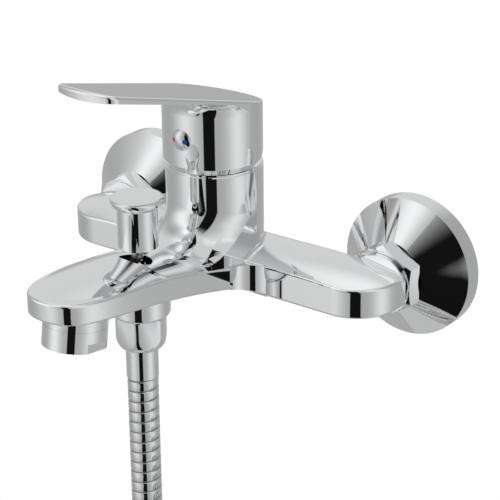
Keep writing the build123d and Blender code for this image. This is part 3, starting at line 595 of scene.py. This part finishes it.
@dataclass
class Studio:
    """Camera, surroundings and floor."""

    place: Vector = field(default_factory=lambda: Vector((0.51471, -0.70603, 0.36003)))
    yaw: float = 37.175
    pitch: float = 23.147
    roll: float = -0.566
    lens: float = 142.12
    sensor: float = 36.0
    clip: Span = (0.01, 50.0)
    floor_z: float = -1.6
    floor_radius: float = 0.6
    floor_sides: int = 96
    floor_colour: Colour = (0.82, 0.82, 0.82)
    floor_roughness: float = 0.8
    floor_glow: float = 0.6

    def camera(self) -> None:
        """Set the camera where the photograph was taken from."""
        yaw, pitch = math.radians(self.yaw), math.radians(self.pitch)
        ahead = Vector(
            (-math.sin(yaw) * math.cos(pitch), math.cos(yaw) * math.cos(pitch), -math.sin(pitch))
        )
        right = Vector((math.cos(yaw), math.sin(yaw), 0.0))
        up = right.cross(ahead)
        turn = Matrix.Rotation(math.radians(self.roll), 3, ahead)
        right, up = turn.inverted() @ right, turn.inverted() @ up
        data = bpy.data.cameras.new("camera")
        data.lens, data.sensor_width = self.lens, self.sensor
        data.clip_start, data.clip_end = self.clip
        camera = bpy.data.objects.new("camera", data)
        bpy.context.scene.collection.objects.link(camera)
        facing = Matrix((right, up, -ahead)).transposed().to_4x4()
        camera.matrix_world = Matrix.Translation(self.place) @ facing
        bpy.context.scene.camera = camera

    def directions(self, nodes: NodeTree) -> tuple[Socket, Socket]:
        """Angles of a direction around and above the object, as the camera stands.

        Args:
            nodes: Helper of the world's tree.

        Returns:
            Angle to the camera's right and angle above the horizon, in degrees.
        """
        place = nodes.add("ShaderNodeTexCoord")
        split = nodes.add("ShaderNodeSeparateXYZ")
        nodes.feed(split, Vector=place.outputs["Generated"])
        x, y, z = (split.outputs[name] for name in "XYZ")
        sine, cosine = math.sin(math.radians(self.yaw)), math.cos(math.radians(self.yaw))
        ahead = nodes.math(
            "SUBTRACT", nodes.math("MULTIPLY", x, sine), nodes.math("MULTIPLY", y, cosine)
        )
        across = nodes.math(
            "ADD", nodes.math("MULTIPLY", x, cosine), nodes.math("MULTIPLY", y, sine)
        )
        turn = nodes.math("DEGREES", nodes.math("ARCTAN2", across, ahead))
        tilt = nodes.math("DEGREES", nodes.math("ARCSINE", z))
        return turn, tilt

    def surroundings(self) -> None:
        """Light the object by soft boxes around it, white to the camera itself."""
        world = bpy.data.worlds.new("studio")
        bpy.context.scene.world = world
        world.use_nodes = True
        tree = world.node_tree
        tree.nodes.clear()
        nodes = NodeTree(tree)
        turn, tilt = self.directions(nodes)
        level = Room().build(nodes, turn, tilt)
        for light in LIGHTS:
            level = nodes.math("ADD", level, light.build(nodes, turn, tilt))
        level = nodes.product(level, DarkGap().build(nodes, turn, tilt))

        studio = nodes.add("ShaderNodeBackground")
        nodes.feed(studio, Strength=level, Color=(1.0, 1.0, 1.0, 1.0))
        white = nodes.add("ShaderNodeBackground")
        nodes.feed(white, Strength=1.0, Color=(1.0, 1.0, 1.0, 1.0))
        path = nodes.add("ShaderNodeLightPath")
        shown = nodes.math(
            "MAXIMUM", path.outputs["Is Camera Ray"], path.outputs["Is Transmission Ray"]
        )
        mix = nodes.mixed(shown, studio, white)
        out = nodes.add("ShaderNodeOutputWorld")
        nodes.feed(out, Surface=mix)

    def floor(self) -> None:
        """Pale round floor under the object."""
        mesh = bpy.data.meshes.new("floor")
        shape = bmesh.new()
        bmesh.ops.create_circle(
            shape, cap_ends=True, segments=self.floor_sides, radius=self.floor_radius
        )
        bmesh.ops.translate(shape, verts=shape.verts, vec=UP * self.floor_z)
        shape.to_mesh(mesh)
        shape.free()
        floor = bpy.data.objects.new("floor", mesh)
        bpy.context.scene.collection.objects.link(floor)
        material = bpy.data.materials.new("floor_paint")
        material.use_nodes = True
        tree = material.node_tree
        nodes = NodeTree(tree)
        paint = tree.nodes["Principled BSDF"]
        nodes.feed(paint, Base_Color=(*self.floor_colour, 1.0), Roughness=self.floor_roughness)
        glow = nodes.add("ShaderNodeEmission")
        nodes.feed(glow, Strength=1.0)
        path = nodes.add("ShaderNodeLightPath")
        share = nodes.math("MULTIPLY", path.outputs["Is Camera Ray"], self.floor_glow)
        nodes.feed(tree.nodes["Material Output"], Surface=nodes.mixed(share, paint, glow))
        mesh.materials.append(material)

    def build(self) -> None:
        """Set up everything that isn't part of the object."""
        scene = bpy.context.scene
        scene.view_settings.view_transform = "Standard"
        self.camera()
        self.surroundings()
        self.floor()


def cut_off(shape: bmesh.types.BMesh, place: Vector, out: Vector) -> list[bmesh.types.BMEdge]:
    """Cut a shape by a plane and drop what lies beyond it.

    Args:
        shape: Shape that is cut.
        place: Point on the plane.
        out: Direction of the side that is dropped.

    Returns:
        Edges along the cut.
    """
    cut = bmesh.ops.bisect_plane(
        shape,
        geom=shape.verts[:] + shape.edges[:] + shape.faces[:],
        plane_co=place,
        plane_no=out,
        clear_outer=True,
    )
    return [item for item in cut["geom_cut"] if isinstance(item, bmesh.types.BMEdge)]


def upright_axis(box: tuple[Vector, Vector]) -> Vector:
    """Point below a turned piece on its upright axis, from its box."""
    return Vector((0.0, (box[0][1] + box[1][1]) / 2, 0.0))


def spun(profile: list[Span], axis: Vector, closed: bool) -> bmesh.types.BMesh:
    """Turn a profile about an upright axis.

    Args:
        profile: Radius and height of each point, in order.
        axis: Point on the axis.
        closed: Whether the last point joins the first.

    Returns:
        The turned shape as a new bmesh.
    """
    shape = bmesh.new()
    verts = [shape.verts.new((axis.x + radius, axis.y, z)) for radius, z in profile]
    pairs = list(zip(verts, verts[1:]))
    if closed:
        pairs.append((verts[-1], verts[0]))
    edges = [shape.edges.new(pair) for pair in pairs]
    bmesh.ops.spin(
        shape,
        geom=verts + edges,
        axis=UP,
        cent=axis,
        angle=2 * math.pi,
        steps=SPIN_STEPS,
        use_merge=True,
    )
    bmesh.ops.remove_doubles(shape, verts=shape.verts, dist=MERGE_DISTANCE)
    bmesh.ops.recalc_face_normals(shape, faces=shape.faces)
    return shape


def arc(centre: Span, radii: Span, start: float, end: float, steps: int = 8) -> list[Span]:
    """Points on an ellipse's arc, for the profile of a turned piece.

    Args:
        centre: Radius and height of the ellipse's centre.
        radii: Its half widths along the radius and the height.
        start: First angle in degrees, from the outward direction.
        end: Last angle in degrees.
        steps: Number of spans.

    Returns:
        Radius and height of each point.
    """
    found = []
    for index in range(steps + 1):
        angle = math.radians(start + (end - start) * index / steps)
        radius = centre[0] + radii[0] * math.cos(angle)
        found.append((radius, centre[1] + radii[1] * math.sin(angle)))
    return found


def placed(name: str, shape: bmesh.types.BMesh, body: Body) -> bpy.types.Object:
    """Make an object of a shape and let it ride on a body.

    Args:
        name: Name of the piece.
        shape: Its shape, which is freed.
        body: Body that carries it.

    Returns:
        The piece.
    """
    mesh = bpy.data.meshes.new(name)
    shape.to_mesh(mesh)
    shape.free()
    mesh.shade_smooth()
    mesh.set_sharp_from_angle(angle=math.radians(SHARP_ANGLE))
    piece = bpy.data.objects.new(name, mesh)
    bpy.context.scene.collection.objects.link(piece)
    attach(piece, body.value)
    return piece


@dataclass
class ShowerHose:
    """Ribbed hose from the lower outlet, with its unseen length in a tied coil."""

    # Depth in the groove, kept on each vertex as the mask of the hose finish's painted groove
    # shade
    DEPTH = "groove_depth"
    # Each point beside a groove, as shares of the groove's half width and of its depth
    SHOULDERS = ((0.55, 0.8), (1.0, 0.22), (1.8, 0.05))

    exit: Vector = field(default_factory=lambda: Vector((0.0, -0.1073, -0.0365)))
    length: float = 1.5
    radius: float = 0.00695
    groove: float = 0.0005
    groove_width: float = 0.0008
    pitch: float = 0.0051
    coil_radius: float = 0.0704
    coil_z: float = -0.195
    coil_pitch: float = 0.0145
    coil_turns: int = 3
    coil_end_y: float = -0.05795
    end_z: float = -0.2089
    points_per_turn: int = 12
    curve_steps: int = 24
    segments: int = 28

    def route(self) -> list[Vector]:
        """Control points of the hose: straight down, then the coil's turns.

        Returns:
            Points in the frame, from the ferrule to the far end.
        """
        step = 2 * math.pi / self.points_per_turn
        reach = self.coil_radius / math.cos(step / 2)
        corner = self.coil_radius * math.tan(step / 2)
        down = self.coil_z - corner
        points = [self.exit, Vector((0.0, self.exit.y, down + 2 * corner))]
        count = self.points_per_turn * self.coil_turns
        last_half = count - self.points_per_turn // 2
        last_y = self.exit.y + self.coil_pitch * (self.coil_turns - 0.5)
        for index in range(count):
            middle = index + 0.5
            angle = math.pi + step * middle
            share = max(0.0, (middle - last_half) / (count - last_half))
            even = self.exit.y + self.coil_pitch * min(middle, last_half) / self.points_per_turn
            x = self.coil_radius + reach * math.cos(angle)
            y = even + share * (self.coil_end_y - last_y)
            z = self.coil_z + reach * math.sin(angle)
            points.append(Vector((x, y, z)))
        points.append(Vector((0.0, self.coil_end_y, self.end_z)))
        return points

    def line(self) -> list[Vector]:
        """Smooth line through the route, read from its spline.

        Returns:
            Points close together along the hose's centre.
        """
        data = bpy.data.curves.new("hose_route", "CURVE")
        data.dimensions = "3D"
        data.resolution_u = self.curve_steps
        spline = data.splines.new("NURBS")
        points = self.route()
        spline.points.add(len(points) - 1)
        for place, point in zip(spline.points, points):
            place.co = (*point, 1.0)
        spline.order_u = 3
        spline.use_endpoint_u = True
        curve = bpy.data.objects.new("hose_route", data)
        bpy.context.scene.collection.objects.link(curve)
        bpy.context.view_layer.update()
        mesh = bpy.data.meshes.new_from_object(curve)
        found = [vertex.co.copy() for vertex in mesh.vertices]
        bpy.data.meshes.remove(mesh)
        bpy.data.objects.remove(curve)
        bpy.data.curves.remove(data)
        return found

    def straight_tube(self, length: float) -> bmesh.types.BMesh:
        """Straight ribbed tube along +Z, its groove wound as one helix.

        Args:
            length: Length of the tube.

        Returns:
            The tube as a new bmesh.
        """
        shape = bmesh.new()
        half = self.groove_width / 2
        rise = [(0.0, self.radius - self.groove)]
        rise += [
            (half * wide, self.radius - self.groove * deep) for wide, deep in self.SHOULDERS
        ]
        fall = [(self.pitch - z, radius) for z, radius in reversed(rise)]
        profile = [*rise, (self.pitch / 2, self.radius), *fall]
        verts = [shape.verts.new((radius, 0.0, z - 2 * self.pitch)) for z, radius in profile]
        edges = [shape.edges.new(pair) for pair in zip(verts, verts[1:])]
        bmesh.ops.spin(
            shape,
            geom=verts + edges,
            axis=UP,
            cent=(0.0, 0.0, 0.0),
            dvec=UP * (self.pitch / self.segments),
            angle=2 * math.pi,
            steps=self.segments,
        )
        turns = 1
        while turns * self.pitch < length + 3 * self.pitch:
            geom = shape.verts[:] + shape.edges[:] + shape.faces[:]
            copy = bmesh.ops.duplicate(shape, geom=geom)["geom"]
            moved = [item for item in copy if isinstance(item, bmesh.types.BMVert)]
            bmesh.ops.translate(shape, verts=moved, vec=UP * (turns * self.pitch))
            turns *= 2
        bmesh.ops.remove_doubles(shape, verts=shape.verts, dist=MERGE_DISTANCE)
        cut_off(shape, Vector(), -UP)
        cut_off(shape, UP * length, UP)
        bmesh.ops.recalc_face_normals(shape, faces=shape.faces)
        return shape

    def build(self, with_pieces: list[str]) -> bpy.types.Object:
        """Args:
            with_pieces: Names of the fittings that stay on the hose; not used.

        Returns:
            The hose.
        """
        line = self.line()
        stations = [0.0]
        for before, after in zip(line, line[1:]):
            stations.append(stations[-1] + (after - before).length)
        shape = self.straight_tube(stations[-1])
        depth = shape.verts.layers.float.new(self.DEPTH)
        frames = self.frames(line)
        at = 0
        for vertex in sorted(shape.verts, key=lambda v: v.co.z):
            height = min(max(vertex.co.z, 0.0), stations[-1])
            while at < len(stations) - 2 and stations[at + 1] < height:
                at += 1
            span = stations[at + 1] - stations[at]
            share = (height - stations[at]) / span
            centre = line[at].lerp(line[at + 1], share)
            side = frames[at][0].lerp(frames[at + 1][0], share)
            other = frames[at][1].lerp(frames[at + 1][1], share)
            # Groove depth, which the hose's finish uses to place its painted shade in the grooves
            deep = (self.radius - math.hypot(vertex.co.x, vertex.co.y)) / self.groove
            vertex[depth] = min(max(deep, 0.0), 1.0)
            vertex.co = centre + side * vertex.co.x + other * vertex.co.y
        mesh = bpy.data.meshes.new("shower_hose")
        shape.to_mesh(mesh)
        shape.free()
        mesh.shade_smooth()
        hose = bpy.data.objects.new("shower_hose", mesh)
        bpy.context.scene.collection.objects.link(hose)
        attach(hose, Body.CASTING.value)
        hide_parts("hose_stretch", "hose_coil")
        return hose

    @staticmethod
    def frames(line: list[Vector]) -> list[tuple[Vector, Vector]]:
        """Two cross directions at each point, carried along without twist.

        Args:
            line: Points along the hose's centre.

        Returns:
            Pair of unit vectors at each point.
        """
        found = []
        side = Vector((1.0, 0.0, 0.0))
        for index in range(len(line)):
            ahead = line[min(index + 1, len(line) - 1)] - line[max(index - 1, 0)]
            ahead.normalize()
            side = (side - ahead * side.dot(ahead)).normalized()
            found.append((side.copy(), ahead.cross(side)))
        return found


@dataclass
class Diverter:
    """Pull-up knob with a rounded head, and the gland that its rod slides in."""

    head_radius: float = 0.01175
    flat_radius: float = 0.0104
    stem_radius: float = 0.0089
    wall: float = 0.0004
    rim_height: float = 0.001
    head_height: float = 0.0035
    hollow_height: float = 0.012
    gland_radius: float = 0.0042
    gland_top: float = 0.0232

    def knob(self) -> bpy.types.Object:
        """Build the knob in place of its solid.

        Returns:
            The knob.
        """
        low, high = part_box("diverter_knob")
        widest = high[2] - self.rim_height
        rim = (self.head_radius - self.flat_radius, self.rim_height)
        under = (self.head_radius - self.stem_radius, self.head_height)
        inner, ceiling = self.stem_radius - self.wall, low[2] + self.hollow_height
        profile = [
            (0.0, high[2]),
            *arc((self.flat_radius, widest), rim, 90.0, 0.0),
            *arc((self.stem_radius, widest), under, 0.0, -90.0)[1:],
            (self.stem_radius, low[2]),
            (inner, low[2]),
            (inner, ceiling),
            (0.0, ceiling),
        ]
        shape = spun(profile, upright_axis((low, high)), closed=False)
        knob = placed("pull_knob", shape, Body.DIVERTER)
        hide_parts("diverter_knob")
        return knob

    def gland(self) -> bpy.types.Object:
        """Build the low gland round the rod, in place of the bush's collar.

        Returns:
            The gland.
        """
        low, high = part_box("diverter_bush")
        rod_low, rod_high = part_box("diverter_rod")
        bore = (rod_high[0] - rod_low[0]) / 2 + self.wall / 2
        profile = [
            (bore, low[2]),
            (self.gland_radius, low[2]),
            (self.gland_radius, self.gland_top - self.wall),
            (self.gland_radius - self.wall, self.gland_top),
            (bore, self.gland_top),
        ]
        shape = spun(profile, upright_axis((low, high)), closed=True)
        gland = placed("rod_gland", shape, Body.CASTING)
        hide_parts("diverter_bush")
        return gland

    def build(self) -> list[bpy.types.Object]:
        """Build the knob and the gland."""
        return [self.knob(), self.gland()]


@dataclass
class SpoutCrown:
    """High crown of the spout's top and the flare that carries the column down onto it.

    Attributes:
        edge_apex: Place and height of the highest point of the spout's arched upper edges.
        edge_radius: Radius of that arch.
        half: Half width of the spout at measured_y, which grows by taper towards the wall.
        tip_y: Front end of the spout, whose rounded tip has tip_length and fullness.
        crown: Rise from the edges to the middle, full behind full_y and none at the tip.
        fall: Power of the crown's fall towards the tip.
        inset: Distance of the crown's border from the spout's edges.
        sink: How far borders lie inside the casting.
        side_fade: Half width from where the flare turns into the casting's own flare, which
            has cast_radius and starts at cast_start.
        crowding: Power that crowds the grid's rows at the tip.
    """

    edge_apex: Span = (-0.165, 0.02097)
    edge_radius: float = 0.348
    half: float = 0.0215
    taper: float = 0.04
    measured_y: float = -0.107
    tip_y: float = -0.1694
    tip_length: float = 0.040
    fullness: float = 0.743
    back_y: float = -0.062
    crown: float = 0.0066
    full_y: float = -0.112
    fall: float = 1.7
    inset: float = 0.0010
    sink: float = 0.0001
    column_y: float = -0.0532
    column_radius: float = 0.0221
    flare_reach: float = 0.018
    flare_top: float = 0.0325
    side_fade: float = 0.010
    cast_radius: float = 0.016
    cast_start: float = 0.030
    flare_depth: float = 0.008
    depth: float = 0.0025
    flare_turn: float = 75.0
    flare_cells: tuple[int, int] = (24, 96)
    cells: tuple[int, int] = (64, 160)
    crowding: float = 1.5

    def side(self, y: float) -> float:
        """Half the spout's width at a distance from the wall, round its tip too.

        Args:
            y: Place along the spout.

        Returns:
            Half width.
        """
        start_y = self.tip_y + self.tip_length
        if y >= start_y:
            return self.half + self.taper * (y - self.measured_y)
        wide = self.half + self.taper * (start_y - self.measured_y)
        reach = self.tip_length * self.fullness
        ends_x = (wide, wide - self.taper * reach, wide * self.fullness, 0.0)
        ends_y = (start_y, start_y - reach, self.tip_y, self.tip_y)
        low, high = 0.0, 1.0
        for _ in range(HALVINGS):
            middle = (low + high) / 2
            if self.bezier(ends_y, middle) > y:
                low = middle
            else:
                high = middle
        return self.bezier(ends_x, low)

    @staticmethod
    def bezier(ends: tuple[float, float, float, float], share: float) -> float:
        """Value of a cubic curve at a share of its way."""
        rest = 1.0 - share
        return (
            ends[0] * rest**3
            + 3 * ends[1] * rest**2 * share
            + 3 * ends[2] * rest * share**2
            + ends[3] * share**3
        )

    def height(self, x: float, y: float) -> float:
        """Height of the crowned top.

        Args:
            x: Place across the spout.
            y: Place along the spout.

        Returns:
            Height above the frame's origin.
        """
        ahead = max(0.0, (self.full_y - y) / (self.full_y - self.tip_y))
        crown = self.crown * (1.0 - min(ahead, 1.0) ** self.fall)
        edge = self.edge_apex[1] - self.edge_radius
        edge += math.sqrt(self.edge_radius**2 - (y - self.edge_apex[0]) ** 2)
        side = max(self.side(y), self.inset)
        return edge + crown * (1.0 - (x / side) ** 2) - self.sink

    @staticmethod
    def thicken(shape: bmesh.types.BMesh, depth: float) -> None:
        """Close a sheet by a copy of it further down.

        Args:
            shape: The sheet.
            depth: How far down the copy lies.
        """
        copied = bmesh.ops.extrude_face_region(shape, geom=shape.faces[:], use_keep_orig=True)
        verts = [item for item in copied["geom"] if isinstance(item, bmesh.types.BMVert)]
        bmesh.ops.translate(shape, verts=verts, vec=UP * -depth)
        bmesh.ops.recalc_face_normals(shape, faces=shape.faces)

    def top(self) -> bpy.types.Object:
        """Build the crown on the casting.

        Returns:
            The crown.
        """
        shape = bmesh.new()
        across, along = self.cells
        bmesh.ops.create_grid(shape, x_segments=across, y_segments=along, size=1.0)
        front_y = self.tip_y + self.inset
        for vertex in shape.verts:
            share = ((vertex.co.y + 1.0) / 2.0) ** self.crowding
            y = front_y + (self.back_y - front_y) * share
            x = vertex.co.x * max(self.side(y) - self.inset, self.inset)
            vertex.co = (x, y, self.height(x, y))
        self.thicken(shape, self.depth)
        return placed("spout_crown", shape, Body.CASTING)

    def cast_flare(self, x: float, y: float) -> float:
        """Height of the casting's own flare, just under its surface.

        Args:
            x: Place across the spout.
            y: Place along the spout.

        Returns:
            Height above the frame's origin.
        """
        edge = self.height(self.side(y), y)
        away = math.hypot(x, y - self.column_y) - self.column_radius
        rest = max(0.0, 1.0 - away / self.cast_radius)
        flare = self.cast_start - self.cast_radius * math.sqrt(max(0.0, 1.0 - rest**2))
        return max(edge, flare) - self.sink

    def flare_height(self, x: float, y: float, share: float) -> float:
        """Height of the flare, which joins the casting's own flare at its sides.

        Args:
            x: Place across the spout.
            y: Place along the spout.
            share: Share of the flare's rise, 1 at the column and 0 at its foot.

        Returns:
            Height above the frame's origin.
        """
        axis = Vector((0.0, self.column_y))
        wall = axis + (Vector((x, y)) - axis).normalized() * self.column_radius
        rise = self.flare_top - self.height(wall.x, wall.y)
        high = self.height(x, y) + rise * share
        fade = (abs(x) - self.side_fade) / (self.column_radius - self.side_fade)
        fade = min(1.0, max(0.0, fade))
        fade *= fade * (3.0 - 2.0 * fade)
        return high + fade * (self.cast_flare(x, y) - high)

    def flare(self) -> bpy.types.Object:
        """Build the concave flare round the front of the column.

        Returns:
            The flare.
        """
        shape = bmesh.new()
        rings, steps = self.flare_cells
        verts = []
        for index in range(rings + 1):
            angle = math.radians(90.0 * index / rings)
            radius = self.column_radius + self.flare_reach * (1.0 - math.cos(angle))
            verts.append(shape.verts.new((0.0, self.column_y - radius, 1.0 - math.sin(angle))))
        edges = [shape.edges.new(pair) for pair in zip(verts, verts[1:])]
        turn = math.radians(self.flare_turn)
        spot = (0.0, self.column_y, 0.0)
        start = Matrix.Rotation(-turn, 4, "Z")
        bmesh.ops.rotate(shape, verts=verts, cent=spot, matrix=start)
        bmesh.ops.spin(
            shape, geom=verts + edges, axis=UP, cent=spot, angle=2 * turn, steps=steps
        )
        for vertex in shape.verts:
            vertex.co.z = self.flare_height(*vertex.co)
        for side in (-1.0, 1.0):
            out = Vector((side, 0.0, 0.0))
            cut_off(shape, out * (self.column_radius - self.sink), out)
        self.thicken(shape, self.flare_depth)
        return placed("column_flare", shape, Body.CASTING)

    def build(self) -> list[bpy.types.Object]:
        """Build the crown and the flare."""
        return [self.top(), self.flare()]


@dataclass
class HoseNut:
    """Barrel-shaped nut with six flats at the top of the hose."""

    radius: float = 0.01165
    top_radius: float = 0.0113
    flat: float = 0.01057
    foot_radius: float = 0.0074
    foot_height: float = 0.0015
    belly_height: float = 0.0075
    shoulder: float = 0.0008
    neck_radius: float = 0.0058
    thread_radius: float = 0.0101
    floor_height: float = 0.004
    flats: int = 6
    first_flat: float = 30.0
    belly_steps: int = 14

    def build(self) -> bpy.types.Object:
        """Build the nut in place of its solid.

        Returns:
            The nut.
        """
        low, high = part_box("hose_nut")
        axis = upright_axis((low, high))
        belly = low[2] + self.foot_height + self.belly_height
        rim = (self.radius - self.top_radius + self.shoulder, self.shoulder)
        under = (self.radius - self.foot_radius, self.belly_height)
        top = (self.top_radius - self.shoulder, high[2] - self.shoulder)
        floor = low[2] + self.floor_height
        profile = [
            (self.thread_radius, high[2]),
            *arc(top, rim, 90.0, 0.0),
            *arc((self.foot_radius, belly), under, 0.0, -90.0, self.belly_steps),
            (self.foot_radius, low[2]),
            (self.neck_radius, low[2]),
            (self.neck_radius, floor),
            (self.thread_radius, floor),
        ]
        shape = spun(profile, axis, closed=True)
        for index in range(self.flats):
            angle = math.radians(self.first_flat + 360.0 * index / self.flats)
            out = Vector((math.cos(angle), math.sin(angle), 0.0))
            rim_edges = cut_off(shape, axis + out * self.flat, out)
            bmesh.ops.edgeloop_fill(shape, edges=rim_edges)
        bmesh.ops.recalc_face_normals(shape, faces=shape.faces)
        nut = placed("hose_top_nut", shape, Body.CASTING)
        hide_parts("hose_nut")
        return nut


class Dressing:
    """Finishes of the solids that stay."""

    def __init__(self) -> None:
        """Build the finishes once."""
        effects = Effects()
        self.materials = {finish.slot.value: finish.build(effects) for finish in FINISHES}

    def paint(self, piece: bpy.types.Object, slot: str) -> None:
        """Give a piece one finish.

        Args:
            piece: Mesh object.
            slot: Name of the record's slot.
        """
        piece.data.materials.clear()
        piece.data.materials.append(self.materials[slot])

    def dress(self) -> None:
        """Paint every solid by the slot that the record gives it."""
        for part in frame["record"]["subparts"]:
            self.paint(frame["nodes"][part["node"]], part["material_slot"])
            log.info("dressed %s as %s", part["node"], part["material_slot"])


def main() -> None:
    """Set up the studio, paint the solids and build the pieces that replace some of them."""
    Studio().build()
    dressing = Dressing()
    dressing.dress()
    dressing.paint(frame["nodes"]["diverter_rod"], Slot.STEEL.value)
    chromed = [*Diverter().build(), *SpoutCrown().build()]
    nut = HoseNut().build()
    chromed.append(nut)
    fittings = ["hose_tie", "hose_end_ferrule", "hose_end_nut", nut.name, "hose_ferrule"]
    hose = ShowerHose().build(fittings)
    for piece in chromed:
        dressing.paint(piece, Slot.CHROME.value)
    dressing.paint(hose, Slot.HOSE.value)
    for piece in (*chromed, hose):
        log.info("built %s, %d faces", piece.name, len(piece.data.polygons))


if __name__ == "__main__":
    main()
